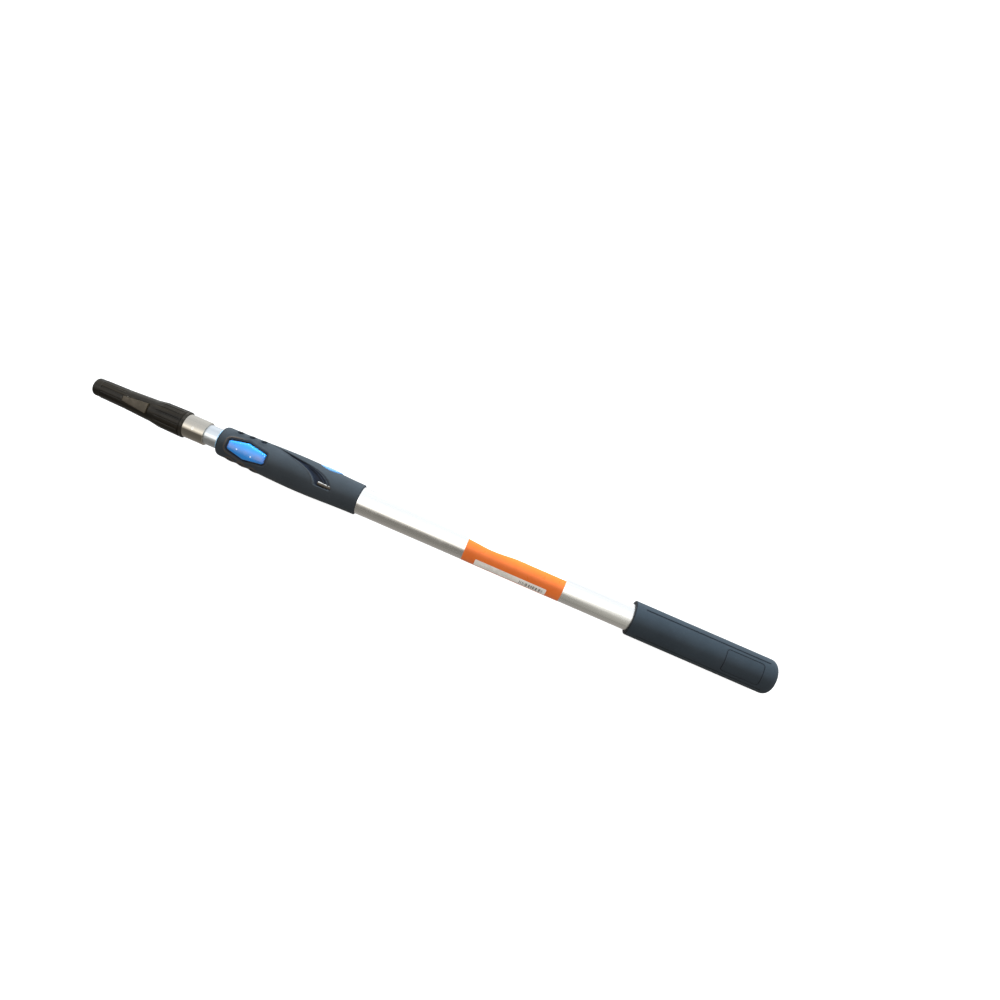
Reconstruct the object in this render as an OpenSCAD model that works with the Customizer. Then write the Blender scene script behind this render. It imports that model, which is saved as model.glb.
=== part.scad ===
// Window cleaning pole with two telescopic aluminium tubes, shown closed and lying on its grips.
// +X runs along the pole from the cone to the end grip, +Z is up, and z = 0 is the surface it lies on.
// Stations are distances along the pole from the tip of the cone.

/* [Pole] */
// Length of the closed pole
closed_length = 732; // [730:1:740]
// How far the inner tube pulls out
extension = 480; // [400:5:480]
// Height of the pole's axis over the surface that it lies on
axis_height = 17.15; // [17:0.05:17.3]
// Outer diameter of the outer tube
outer_tube_d = 28; // [28:0.1:28.2]
// Outer diameter of the inner tube
inner_tube_d = 20.5; // [20:0.1:20.5]
// Wall of both tubes
tube_wall = 1.2; // [1:0.1:1.4]

/* [Cone] */
// Diameter of the cylindrical nose
nose_d = 17.8; // [17:0.1:18]
// Length of the nose that is smooth
nose_length = 8; // [6:0.5:9]
// Diameter where the front flutes end
fluted_end_d = 19.4; // [19:0.1:19.8]
// Diameter in front of the collar
taper_end_d = 22.8; // [22:0.1:23]
// Diameter of the collar's rear rim
collar_d = 27; // [26:0.1:27.4]
// Station of the collar's rear rim
cone_length = 98.5; // [98:0.5:99]
// Number of flutes in front of the catch
front_flutes = 12; // [8:2:16]
// Number of flutes round the collar
collar_flutes = 16; // [10:2:20]

/* [Catch] */
// Width of the catch at its front end
catch_front_w = 5; // [4.6:0.1:5.4]
// Width of the catch at its rear end
catch_rear_w = 10.4; // [9:0.1:10.6]
// How far the rear edge of the catch stands out of the cone
catch_proud = 1.3; // [0.8:0.1:1.4]

/* [Ferrule] */
// Outer diameter of the ferrule
ferrule_d = 24; // [23.4:0.1:24.2]
// Station of the ferrule's rear edge
ferrule_end = 121; // [119:0.5:123]

/* [Front grip] */
// Diameter just behind the front edge
grip_front_d = 30.2; // [30:0.1:30.6]
// Largest diameter
grip_belly_d = 35; // [34.8:0.1:35.2]
// Diameter just in front of the rear edge
grip_rear_d = 31.6; // [31:0.1:32]

/* [Button] */
// Length of the button
button_length = 38.8; // [38.4:0.1:39.2]
// Width of the button at its widest
button_w = 16.8; // [16.4:0.1:17.4]
// How far the button travels
button_travel = 1.5; // [1:0.1:1.5]

/* [End grip] */
// Diameter of the end grip
end_grip_d = 35.6; // [35.2:0.1:35.8]
// Length of the end grip
end_grip_length = 154.3; // [148:0.1:160]

/* [Label] */
// Length of the label wrap
label_length = 104; // [90:1:110]

/* [Hidden] */
$fn = 96;
facets = 32;
eps = 0.01;
bite = 1;

outer_r = outer_tube_d / 2;
outer_bore = outer_r - tube_wall;
inner_r = inner_tube_d / 2;
inner_bore = inner_r - tube_wall;

// Stations of the outer tube and what closes its ends
outer_start = 192;
outer_end = closed_length - 6;
plug_depth = 10;
plug_flange = 2;
bush_flange = 2;
stop_gap = 6;

// Stations of the inner tube and its tail
inner_start = cone_length - 4.5;
tail_gap = 1;
tail_flange = 3;
inner_end = outer_end - plug_depth - tail_gap - tail_flange;
tail_depth = 12;
glide_length = 21.6;
glide_play = 0.2;
ring_w = 1;
ring_depth = 0.35;
ring_rise = 1.4;
ring_slot_w = 4;
flange_rise = 1.6;
glide_slit = 1.6;
ring_station = inner_end - glide_length - 2 * glide_play - ring_w;

// The stop bush reaches back to just short of the ring when the pole is drawn out
bush_depth = ring_station - extension - outer_start - stop_gap;

// Running clearances
glide_fit = 0.08;
glide_bore_fit = 0.15;
bush_fit = 0.12;
seal_fit = 0.08;

// Cone
nose_r = nose_d / 2;
nose_round = 3;
flute_start = 9;
flute_end = 33;
flute_r = 1.1;
flute_depth = 0.5;
nose_step = 0.25;
nose_step_w = 0.5;
rim_chamfer = 0.5;
collar_start = 63;
collar_shoulder = 73;
collar_shoulder_r = collar_d / 2 - 0.5;
collar_flute_start = 66;
collar_flute_end = 94;
collar_flute_r = collar_shoulder_r - 0.6;
lip_station = 95;
lip_w = 1;
lip_depth = 0.5;
spigot_end = 126;

// Catch
catch_start = 33.2;
catch_end = 60;
catch_gap = 0.35;
catch_rear_gap = 0.8;
catch_floor = 2.5;
catch_foot = 6;
catch_toe = 4.8;
catch_toe_l = 6;
catch_heel_l = 12;
catch_land = 1.2;
catch_front_sunk = 0.2;
catch_rear_sunk = 0.1;
catch_pivot_s = 36.5;
catch_pivot_z = 6.4;
catch_pin_r = 1;
catch_pin_length = 12;
catch_pin_fit = 0.05;

// Catch spring
spring_r = 1.6;
spring_wire_r = 0.25;
spring_turns = 4;
spring_station = 55;
ring_steps = 10;
ring_sides = 6;

// Cross pin through ferrule, tube and spigot
cross_pin_r = 1.7;
cross_pin_station = 109;
cross_pin_recess = 0.15;
ferrule_edge = 0.8;

// Front grip
grip_start = 136;
grip_end = 285.5;
grip_belly = 222;
grip_round = 4.5;
grip_rear_round = 1.5;
grip_lip = 1.6;
grip_lip_face = 0.2;
grip_steps = 16;
lip_open_r = 12.45;
shell_end = 284;
core_split = 172;
front_core_r = 13.8;
rear_core_r = 15;
chamber_r = outer_r + 0.2;
chamber_end = 190;
core_spigot = 3.2;
core_spigot_r = 12.2;
core_bore = inner_r + 0.2;
hole_r = 2.2;
hole_depth = 1;
hole_angle = 65;
hole_stations = [152.5, 165, 177.5];

// Blue bush in the mouth of the grip
bush_start = 134.4;
bush_nose_r = 11;
bush_ring_r = 12.4;
bush_seat_r = 12.2;
bush_end = 143;
seal_w = 3;

// Button, seen from above as an unequal hexagon
button_start = 148.4;
button_end = button_start + button_length;
button_mid = button_start + 0.465 * button_length;
button_front_w = 8.8;
button_rear_w = 10.2;
button_round = 2.2;
button_gap = 0.35;
cover_gap = 1.3;
button_front_r = 16.7;
button_rear_r = 17.9;
button_hollow = 2.95;
button_hollow_r = inner_r + button_hollow;
deck_rise = 1.15;
deck_r = inner_r + deck_rise;
deck_cut = 0.1;
deck_flat = deck_r - deck_cut;
pocket_low = 6;

// Leaf spring under the button
leaf_w = 6;
leaf_start = 151.5;
leaf_end = 171;
leaf_rise = 2.7;
leaf_t = 0.35;
leaf_room = 0.1;
leaf_side = 0.5;

// Yoke that carries the brake shoe round the inner tube
yoke_start = 176;
yoke_end = 186;
shoe_t = 1;
shoe_fit = 0.05;
shoe_play = 0.02;
shoe_arc = 100;
yoke_t = 1.1;
yoke_rise = button_travel - 0.8;
yoke_hole_r = inner_r + shoe_fit + shoe_t + yoke_rise / 2;
lug_w = 6;
lug_start = 178;
lug_end = 184;
lug_low = 12.4;
lug_top = 14.9;

// Screws
core_screw_station = 173.7;
core_screw_angle = 110;
tube_screw_station = 270;
screw_r = 1;
screw_head_r = 1.7;
screw_head_t = 0.7;
screw_sunk = 0.15;
screw_play = 0.1;

// Steel bar in the scoop of the grip
bar_start = 243.5;
bar_end = 259.5;
bar_r = 2.4;
bar_axis = outer_r - 0.1;
bar_flat = outer_r + 0.05;
scoop_station = 250.5;
scoop_r = 11;
scoop_floor = 15.2;
scoop_turn = 14;

// Blue inlay on the side of the grip
inlay_station = 247;
inlay_length = 26;
inlay_w = 14;
inlay_top = 17.8;
inlay_crown = 120;

// End grip
end_start = closed_length - end_grip_length;
end_r = end_grip_d / 2;
end_corner = 8;
end_edge = 1.2;
end_thick = closed_length - outer_end - plug_flange;
groove_start = end_start + 10;
groove_end = closed_length - 11;
groove_angle = 52;
groove_w = 1.4;
groove_depth = 0.6;

// Label wrap and sticker
label_start = 400.5;
label_t = 0.15;
sticker_start = 414;
sticker_end = 490;
sticker_t = 0.12;
sticker_low = -68;
sticker_high = -30;

// ---- Frames ----

// The pole's own frame: X is the station, Y the side and Z the height over the axis
module pole() {
    translate([-closed_length / 2, 0, axis_height]) children();
}

// Turns a lathe shape, drawn as [radius, station], so that its axis is the pole's
module lathe() {
    rotate([90, 0, 90]) children();
}

// Turns a shape round the pole, so that what was on top sits at this angle towards +Y
module at_angle(angle) {
    rotate([-angle, 0, 0]) children();
}

// Extrudes a shape drawn as [station, height] sideways, centred on the axis
module sideways(width) {
    rotate([90, 0, 0]) linear_extrude(width, center = true) children();
}

// ---- Shared shapes ----

module rod(radius, from, to) {
    translate([from, 0, 0]) rotate([0, 90, 0]) cylinder(r = radius, h = to - from);
}

module tube(radius, bore, from, to) {
    difference() {
        rod(radius, from, to);
        rod(bore, from - bite, to + bite);
    }
}

// A pin along a radius of the pole
module spoke(radius, from, to) {
    translate([0, 0, from]) cylinder(r = radius, h = to - from);
}

// Points of an arc in the plane of the profile, with its radii across and along the pole
function arc(centre, radii, from, to, steps) = [
    for (i = [0 : steps]) let (a = from + (to - from) * i / steps)
        centre + [radii.x * cos(a), radii.y * sin(a)]
];

// Eases from 0 to 1
function ease(t) = (1 - cos(180 * t)) / 2;

// A value between two others
function mix(from, to, share) = from + (to - from) * share;

// Radius of the front grip at a station
function grip_radius(s) = s < grip_belly
    ? mix(grip_front_d, grip_belly_d, ease((s - grip_start) / (grip_belly - grip_start))) / 2
    : mix(grip_belly_d, grip_rear_d, ease((s - grip_belly) / (grip_end - grip_belly))) / 2;

// The button's outline, as [station, side]
module button_outline(grow) {
    offset(r = button_round + grow, $fn = facets) offset(delta = -button_round) polygon([
        [button_start, -button_front_w / 2], [button_mid, -button_w / 2],
        [button_end, -button_rear_w / 2], [button_end, button_rear_w / 2],
        [button_mid, button_w / 2], [button_start, button_front_w / 2]
    ]);
}

module button_window(grow, low) {
    translate([0, 0, low]) linear_extrude(grip_belly_d) button_outline(grow);
}

// What lies under the plane that the pole rests on
module below_rest() {
    translate([0, -closed_length / 2, -axis_height - grip_belly_d]) {
        cube([closed_length + bite, closed_length, grip_belly_d]);
    }
}

// ---- Cone ----

module cone_profile() {
    polygon(concat(
        [[0, 0]],
        arc([nose_r - nose_round, nose_round], [nose_round, nose_round], -90, 0, 6),
        [
            [nose_r, nose_length],
            [nose_r + nose_step, nose_length + nose_step_w],
            [fluted_end_d / 2, flute_end],
            [taper_end_d / 2, collar_start],
            [collar_shoulder_r, collar_shoulder],
            [collar_d / 2, collar_flute_end],
            [collar_d / 2, lip_station],
            [collar_d / 2 - lip_depth, lip_station],
            [collar_d / 2 - lip_depth, lip_station + lip_w],
            [collar_d / 2, lip_station + lip_w],
            [collar_d / 2, cone_length - rim_chamfer],
            [collar_d / 2 - rim_chamfer, cone_length],
            [ferrule_d / 2, cone_length],
            [ferrule_d / 2, inner_start],
            [inner_bore, inner_start],
            [inner_bore, spigot_end],
            [0, spigot_end]
        ]
    ));
}

module flutes(count, from, to, from_r, to_r) {
    slope = atan((to_r - from_r) / (to - from));
    for (i = [0 : count - 1]) {
        at_angle((i + 0.5) * 360 / count) {
            translate([from, 0, from_r + flute_r - flute_depth]) {
                rotate([0, 90 - slope, 0]) cylinder(r = flute_r, h = (to - from) / cos(slope));
            }
        }
    }
}

// The catch's outline seen from above, as [station, side]
module catch_outline(grow, rear) {
    polygon([
        [catch_start - grow, -catch_front_w / 2 - grow], [catch_end + rear, -catch_rear_w / 2 - grow],
        [catch_end + rear, catch_rear_w / 2 + grow], [catch_start - grow, catch_front_w / 2 + grow]
    ]);
}

module catch_hole(radius) {
    translate([catch_pivot_s, 0, catch_pivot_z]) rotate([90, 0, 0]) {
        cylinder(r = radius, h = catch_pin_length, center = true);
    }
}

module cone_body() {
    color("#2b2422") pole() difference() {
        lathe() rotate_extrude() cone_profile();
        flutes(front_flutes, flute_start, flute_end, nose_r + nose_step, fluted_end_d / 2);
        flutes(collar_flutes, collar_flute_start, collar_flute_end, collar_flute_r, collar_d / 2);
        translate([0, 0, catch_floor]) linear_extrude(collar_d) catch_outline(catch_gap, catch_rear_gap);
        catch_hole(catch_pin_r);
        translate([cross_pin_station, 0, 0]) cylinder(r = cross_pin_r, h = collar_d, center = true);
    }
}

module cone_catch() {
    front_top = fluted_end_d / 2 - catch_front_sunk;
    rear_top = taper_end_d / 2 - catch_rear_sunk + catch_proud;
    color("#6b5846") pole() difference() {
        intersection() {
            sideways(collar_d) polygon([
                [catch_start, catch_toe], [catch_start + catch_toe_l, catch_toe],
                [catch_start + catch_heel_l, catch_foot], [catch_end, catch_foot],
                [catch_end, rear_top], [catch_end - catch_land, rear_top],
                [catch_start, front_top]
            ]);
            linear_extrude(collar_d) catch_outline(0, 0);
        }
        catch_hole(catch_pin_r + catch_pin_fit);
    }
}

module catch_pin() {
    color("silver") pole() catch_hole(catch_pin_r);
}

// Points of one ring of wire, at this share of the way up the coil
function coil_ring(t, height) = [
    for (j = [0 : ring_sides - 1]) let (a = 360 * spring_turns * t, b = 360 * j / ring_sides)
        [
            (spring_r + spring_wire_r * cos(b)) * cos(a),
            (spring_r + spring_wire_r * cos(b)) * sin(a),
            spring_wire_r + (height - 2 * spring_wire_r) * t + spring_wire_r * sin(b)
        ]
];

module coil(height) {
    rings = spring_turns * ring_steps;
    points = [for (i = [0 : rings]) each coil_ring(i / rings, height)];
    sides = [
        for (i = [0 : rings - 1], j = [0 : ring_sides - 1])
            let (k = (j + 1) % ring_sides, a = i * ring_sides, b = a + ring_sides)
                [a + j, b + j, b + k, a + k]
    ];
    first = [for (j = [0 : ring_sides - 1]) j];
    last = [for (j = [ring_sides - 1 : -1 : 0]) rings * ring_sides + j];
    polyhedron(points, concat([first], sides, [last]));
}

module catch_spring() {
    color("silver") pole() translate([spring_station, 0, catch_floor + eps]) {
        coil(catch_foot - catch_floor - 2 * eps);
    }
}

module ferrule() {
    edge = ferrule_edge;
    color("gainsboro") pole() difference() {
        lathe() rotate_extrude() polygon(concat(
            [[inner_r, inner_start], [ferrule_d / 2, inner_start]],
            arc([ferrule_d / 2 - edge, ferrule_end - edge], [edge, edge], 0, 90, 4),
            [[inner_r, ferrule_end]]
        ));
        translate([cross_pin_station, 0, 0]) cylinder(r = cross_pin_r, h = collar_d, center = true);
    }
}

module ferrule_pin() {
    color("darkgray") pole() translate([cross_pin_station, 0, 0]) {
        cylinder(r = cross_pin_r, h = ferrule_d - 2 * cross_pin_recess, center = true);
    }
}

// ---- Inner tube ----

module inner_tube() {
    color("lightgray") pole() difference() {
        tube(inner_r, inner_bore, inner_start, inner_end);
        translate([cross_pin_station, 0, 0]) cylinder(r = cross_pin_r, h = collar_d, center = true);
        tube(inner_r + bite, inner_r - ring_depth, ring_station, ring_station + ring_w);
    }
}

module tail_plug() {
    color("#3c3c3c") pole() {
        rod(inner_bore, inner_end - tail_depth, inner_end + eps);
        rod(inner_r + flange_rise, inner_end, inner_end + tail_flange);
    }
}

module tail_ring() {
    color("silver") pole() difference() {
        tube(inner_r + ring_rise, inner_r - ring_depth, ring_station, ring_station + ring_w);
        translate([ring_station - bite, -ring_slot_w / 2, 0]) {
            cube([ring_w + 2 * bite, ring_slot_w, outer_r]);
        }
    }
}

module rear_glide() {
    from = ring_station + ring_w + glide_play;
    color("whitesmoke") pole() difference() {
        tube(outer_bore - glide_bore_fit, inner_r + glide_fit, from, from + glide_length);
        translate([from - bite, -glide_slit / 2, -outer_r]) {
            cube([glide_length + 2 * bite, glide_slit, outer_r]);
        }
    }
}

// ---- Outer tube ----

module outer_tube() {
    color("silver") pole() difference() {
        tube(outer_r, outer_bore, outer_start, outer_end);
        tube_screw_holes(screw_r);
    }
}

module stop_bush() {
    color("whitesmoke") pole() difference() {
        union() {
            rod(outer_r, outer_start - bush_flange, outer_start);
            rod(outer_bore, outer_start - eps, outer_start + bush_depth);
        }
        rod(inner_r + bush_fit, outer_start - bush_flange - bite, outer_start + bush_depth + bite);
    }
}

module end_plug() {
    color("#3c3c3c") pole() {
        rod(outer_bore, outer_end - plug_depth, outer_end + eps);
        rod(outer_r, outer_end, outer_end + plug_flange);
    }
}

module end_grip() {
    edge = end_edge;
    color("#3c464e") pole() difference() {
        lathe() rotate_extrude() polygon(concat(
            [[0, closed_length - end_thick], [outer_r, closed_length - end_thick], [outer_r, end_start]],
            arc([end_r - edge, end_start + edge], [edge, edge], -90, 0, 4),
            arc([end_r - end_corner, closed_length - end_corner], [end_corner, end_corner], 0, 90, 8),
            [[0, closed_length]]
        ));
        for (angle = [-groove_angle, groove_angle]) at_angle(angle) {
            translate([groove_start, -groove_w / 2, end_r - groove_depth]) {
                cube([groove_end - groove_start, groove_w, end_r]);
            }
        }
        below_rest();
    }
}

module label_wrap() {
    color("#f0702a") pole() tube(outer_r + label_t, outer_r, label_start, label_start + label_length);
}

module barcode_sticker() {
    low_r = outer_r + label_t;
    color("white") pole() lathe() rotate([0, 0, 90 - sticker_high]) {
        rotate_extrude(angle = sticker_high - sticker_low) {
            translate([low_r, sticker_start]) square([sticker_t, sticker_end - sticker_start]);
        }
    }
}

// ---- Front grip ----

module core_screw_holes(radius) {
    for (side = [-1, 1]) at_angle(side * core_screw_angle) {
        translate([core_screw_station, 0, 0]) spoke(radius, core_spigot_r, rear_core_r + bite);
    }
}

module tube_screw_holes(radius) {
    for (side = [-1, 1]) at_angle(side * 90) {
        translate([tube_screw_station, 0, 0]) spoke(radius, outer_bore - bite, rear_core_r + bite);
    }
}

module screw_heads(station, angle) {
    for (side = [-1, 1]) at_angle(side * angle) {
        translate([station, 0, 0]) spoke(screw_head_r, rear_core_r - screw_head_t, rear_core_r + bite);
    }
}

// The room that the button's skirt moves in, over the deck that covers the inner tube
module button_pocket() {
    difference() {
        button_window(button_gap, pocket_low);
        rod(deck_r, button_start - 2 * bite, core_split);
    }
    translate([leaf_start - bite, -leaf_w / 2 - leaf_side, deck_flat]) {
        cube([leaf_end - leaf_start + 2 * bite, leaf_w + 2 * leaf_side, grip_belly_d]);
    }
}

module front_housing() {
    color("#25272a") pole() difference() {
        union() {
            rod(front_core_r, grip_start + grip_lip, core_split);
            rod(chamber_r, core_split - eps, core_split + core_spigot);
        }
        rod(core_bore, grip_start, core_split + bite);
        rod(bush_seat_r, grip_start, bush_end + seal_w);
        rod(core_spigot_r, core_split, core_split + core_spigot + bite);
        button_pocket();
        core_screw_holes(screw_r);
    }
}

module rear_housing() {
    color("#25272a") pole() difference() {
        rod(rear_core_r, core_split, shell_end);
        rod(chamber_r, core_split - bite, chamber_end);
        rod(outer_r, chamber_end - bite, shell_end + bite);
        button_window(button_gap, pocket_low);
        core_screw_holes(screw_r);
        screw_heads(core_screw_station, core_screw_angle);
        tube_screw_holes(screw_r);
        screw_heads(tube_screw_station, 90);
        bar_solid();
    }
}

module screws(station, angle, tip) {
    for (side = [-1, 1]) at_angle(side * angle) translate([station, 0, 0]) {
        spoke(screw_r, tip, rear_core_r - screw_sunk);
        spoke(screw_head_r, rear_core_r - screw_head_t, rear_core_r - screw_sunk);
    }
}

module housing_screws() {
    color("silver") pole() screws(core_screw_station, core_screw_angle, core_spigot_r + screw_play);
}

module tube_screws() {
    color("silver") pole() screws(tube_screw_station, 90, outer_bore + screw_play);
}

module grip_profile() {
    front_r = grip_radius(grip_start + grip_round);
    rear_r = grip_radius(grip_end - grip_rear_round);
    corner_w = front_r - lip_open_r - grip_lip_face;
    from = grip_start + grip_round + 4;
    to = grip_end - grip_rear_round - 2;
    polygon(concat(
        [[lip_open_r, grip_start]],
        arc([front_r - corner_w, grip_start + grip_round], [corner_w, grip_round], -90, 0, 6),
        [for (i = [0 : grip_steps]) let (s = from + (to - from) * i / grip_steps) [grip_radius(s), s]],
        arc([rear_r - grip_rear_round, grip_end - grip_rear_round],
            [grip_rear_round, grip_rear_round], 0, 90, 4),
        [
            [outer_r, grip_end], [outer_r, shell_end], [rear_core_r, shell_end],
            [rear_core_r, core_split], [front_core_r, core_split],
            [front_core_r, grip_start + grip_lip], [lip_open_r, grip_start + grip_lip]
        ]
    ));
}

// The hollow that crosses the grip over the steel bar
module scoop() {
    translate([scoop_station, 0, scoop_floor + scoop_r]) rotate([90, 0, scoop_turn]) {
        cylinder(r = scoop_r, h = grip_belly_d, center = true);
    }
}

module inlay_outline(height) {
    half_l = inlay_length / 2;
    half_w = inlay_w / 2;
    bow = (half_l * half_l + half_w * half_w) / inlay_w;
    translate([inlay_station, 0, 0]) rotate([-90, 0, 0]) linear_extrude(height) intersection() {
        translate([0, bow - half_w]) circle(r = bow);
        translate([0, half_w - bow]) circle(r = bow);
    }
}

module grip_cover() {
    color("#2a2d30") pole() difference() {
        lathe() rotate_extrude() grip_profile();
        button_window(cover_gap, pocket_low);
        for (angle = [-hole_angle, hole_angle], station = hole_stations) at_angle(angle) {
            translate([station, 0, 0]) {
                spoke(hole_r, grip_radius(station) - hole_depth, grip_belly_d);
            }
        }
        scoop();
        bar_solid();
        inlay_outline(grip_belly_d);
        below_rest();
    }
}

module side_inlay() {
    color("#2f8fe6") pole() intersection() {
        inlay_outline(grip_belly_d);
        translate([inlay_station, 0, 0]) lathe() rotate_extrude() intersection() {
            translate([inlay_top - inlay_crown, 0]) circle(r = inlay_crown, $fn = 8 * $fn);
            translate([rear_core_r, -inlay_length]) square([inlay_top, 2 * inlay_length]);
        }
    }
}

module bar_solid() {
    intersection() {
        translate([0, 0, bar_axis]) rod(bar_r, bar_start, bar_end);
        translate([bar_start, -bar_r, bar_flat]) cube([bar_end - bar_start, 2 * bar_r, 2 * bar_r]);
    }
}

module strap_bar() {
    color("gainsboro") pole() bar_solid();
}

module front_bush() {
    flare_w = bush_ring_r - bush_nose_r;
    flare_l = grip_start - bush_start;
    color("#2f8fe6") pole() lathe() rotate_extrude() polygon(concat(
        [[inner_r + bush_fit, bush_start]],
        arc([bush_nose_r, grip_start], [flare_w, flare_l], -90, 0, 6),
        [
            [bush_ring_r, grip_start + grip_lip], [bush_seat_r, grip_start + grip_lip],
            [bush_seat_r, bush_end], [inner_r + bush_fit, bush_end]
        ]
    ));
}

module wiper_seal() {
    color("#303030") pole() tube(bush_seat_r, inner_r + seal_fit, bush_end, bush_end + seal_w);
}

// ---- Lock ----

module lock_button() {
    color("#2f8fe6") pole() difference() {
        intersection() {
            button_window(0, 0);
            translate([button_start - bite, 0, 0]) rotate([0, 90, 0]) {
                cylinder(r1 = button_front_r, r2 = button_rear_r, h = button_length + 2 * bite);
            }
        }
        rod(button_hollow_r, button_start - 2 * bite, button_end + 2 * bite);
        translate([leaf_start - bite, -leaf_w / 2 - leaf_side, 0]) {
            cube([
                leaf_end - leaf_start + 2 * bite,
                leaf_w + 2 * leaf_side,
                deck_flat + leaf_rise + leaf_room
            ]);
        }
        lug(0);
    }
}

module lug(low) {
    translate([lug_start, -lug_w / 2, low]) cube([lug_end - lug_start, lug_w, lug_top - low]);
}

module lock_yoke() {
    color("gray") pole() difference() {
        union() {
            translate([0, 0, yoke_rise / 2]) rod(yoke_hole_r + yoke_t, yoke_start, yoke_end);
            lug(lug_low);
        }
        translate([0, 0, yoke_rise / 2]) rod(yoke_hole_r, yoke_start - bite, yoke_end + bite);
    }
}

module brake_shoe() {
    color("#b08d57") pole() lathe() rotate([0, 0, -90 - shoe_arc / 2]) {
        rotate_extrude(angle = shoe_arc) {
            translate([inner_r + shoe_fit, yoke_start]) square([shoe_t - shoe_play, yoke_end - yoke_start]);
        }
    }
}

module lock_spring() {
    half = (leaf_end - leaf_start) / 2;
    rise = leaf_rise - leaf_t;
    bow = (half * half + rise * rise) / (2 * rise);
    color("silver") pole() translate([leaf_start + half, 0, deck_flat + eps]) {
        intersection() {
            sideways(leaf_w) difference() {
                translate([0, rise - bow]) circle(r = bow + leaf_t, $fn = 4 * $fn);
                translate([0, rise - bow]) circle(r = bow, $fn = 4 * $fn);
            }
            translate([-half, -leaf_w, 0]) cube([2 * half, 2 * leaf_w, 2 * leaf_rise]);
        }
    }
}

cone_body();
cone_catch();
catch_pin();
catch_spring();
ferrule();
ferrule_pin();
inner_tube();
tail_plug();
tail_ring();
rear_glide();
outer_tube();
stop_bush();
end_plug();
end_grip();
label_wrap();
barcode_sticker();
front_housing();
rear_housing();
housing_screws();
tube_screws();
grip_cover();
side_inlay();
strap_bar();
front_bush();
wiper_seal();
lock_button();
lock_yoke();
brake_shoe();
lock_spring();
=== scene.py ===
"""Looks of a telescopic window cleaning pole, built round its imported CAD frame."""
import math

import bmesh
import bpy
import numpy as np
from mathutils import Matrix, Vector


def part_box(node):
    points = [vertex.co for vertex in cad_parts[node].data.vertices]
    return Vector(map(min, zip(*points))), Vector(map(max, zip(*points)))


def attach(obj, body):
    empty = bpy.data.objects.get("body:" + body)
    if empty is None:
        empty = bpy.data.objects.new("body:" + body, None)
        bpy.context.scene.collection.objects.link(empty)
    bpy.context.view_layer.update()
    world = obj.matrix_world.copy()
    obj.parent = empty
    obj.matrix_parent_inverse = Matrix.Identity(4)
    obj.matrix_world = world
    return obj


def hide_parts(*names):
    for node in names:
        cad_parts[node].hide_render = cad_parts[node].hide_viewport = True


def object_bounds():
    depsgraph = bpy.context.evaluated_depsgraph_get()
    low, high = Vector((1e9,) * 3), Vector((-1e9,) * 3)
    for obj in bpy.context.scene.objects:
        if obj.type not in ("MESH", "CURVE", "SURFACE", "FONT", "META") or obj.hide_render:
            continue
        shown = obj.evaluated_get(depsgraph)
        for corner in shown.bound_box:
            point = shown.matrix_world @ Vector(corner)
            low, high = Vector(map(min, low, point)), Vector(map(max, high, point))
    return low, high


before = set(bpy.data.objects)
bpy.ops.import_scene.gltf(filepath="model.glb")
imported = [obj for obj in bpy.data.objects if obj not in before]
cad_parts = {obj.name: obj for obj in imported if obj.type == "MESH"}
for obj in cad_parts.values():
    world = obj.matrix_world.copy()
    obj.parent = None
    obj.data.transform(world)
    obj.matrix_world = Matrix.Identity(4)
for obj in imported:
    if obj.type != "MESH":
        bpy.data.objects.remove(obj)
cad_lo, cad_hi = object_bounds()

MM = 0.001
SMOOTH_ANGLE = math.radians(38)


# ---- Frame: stations run along the pole from the cone's tip, angles go from the top towards +Y ----

START = cad_lo.x / MM
tube_lo, tube_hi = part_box("outer_tube")
AXIS = (tube_lo.z + tube_hi.z) / 2 / MM
TUBE_R = (tube_hi.y - tube_lo.y) / 2 / MM


def span(node):
    """A node's first and last station, in mm."""
    lo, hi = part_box(node)
    return lo.x / MM - START, hi.x / MM - START


def place(station, angle, radius):
    """Points in metres, as rows, from arrays in mm and radians."""
    station, angle, radius = np.broadcast_arrays(station, angle, radius)
    points = (START + station, radius * np.sin(angle), AXIS + radius * np.cos(angle))
    return np.stack(points, -1).reshape(-1, 3) * MM


def step(low, high, x):
    """Smooth step from 0 at low to 1 at high; high may be under low."""
    t = np.clip((x - low) / (high - low), 0, 1)
    return t * t * (3 - 2 * t)


def swell(t):
    """Cosine ease from 0 to 1."""
    return (1 - np.cos(np.pi * np.clip(t, 0, 1))) / 2


def corner(centre_s, centre_r, size_s, size_r, begin, end, count):
    """Profile points, as (station, radius), round an ellipse's corner; angles in degrees."""
    turn = np.radians(np.linspace(begin, end, count))
    return [(centre_s + size_s * math.sin(a), centre_r + size_r * math.cos(a)) for a in turn]


def runs(*pieces):
    """Rising values from (first, last, spacing) runs, each without its last value."""
    return np.concatenate([np.arange(a, b - 1e-6, d) for a, b, d in pieces])


def to_line(x, y, line, closed=False):
    """Distance of points to a polyline, and the closest points on it."""
    best = np.full(np.shape(x), 1e9)
    near = np.zeros(np.shape(x) + (2,))
    points = list(line) + ([line[0]] if closed else [])
    for (ax, ay), (bx, by) in zip(points[:-1], points[1:]):
        dx, dy = bx - ax, by - ay
        t = np.clip(((x - ax) * dx + (y - ay) * dy) / (dx * dx + dy * dy), 0, 1)
        px, py = ax + t * dx, ay + t * dy
        d = np.hypot(x - px, y - py)
        closer = d < best
        best = np.where(closer, d, best)
        near[closer] = np.stack([px, py], -1)[closer]
    return best, near


def inside(x, y, outline):
    """Whether points lie in a closed outline."""
    odd = np.zeros(np.shape(x), bool)
    for (ax, ay), (bx, by) in zip(outline, list(outline[1:]) + [outline[0]]):
        if ay == by:
            continue
        crosses = ((ay > y) != (by > y)) & (x < (bx - ax) * (y - ay) / (by - ay) + ax)
        odd ^= crosses
    return odd


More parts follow.
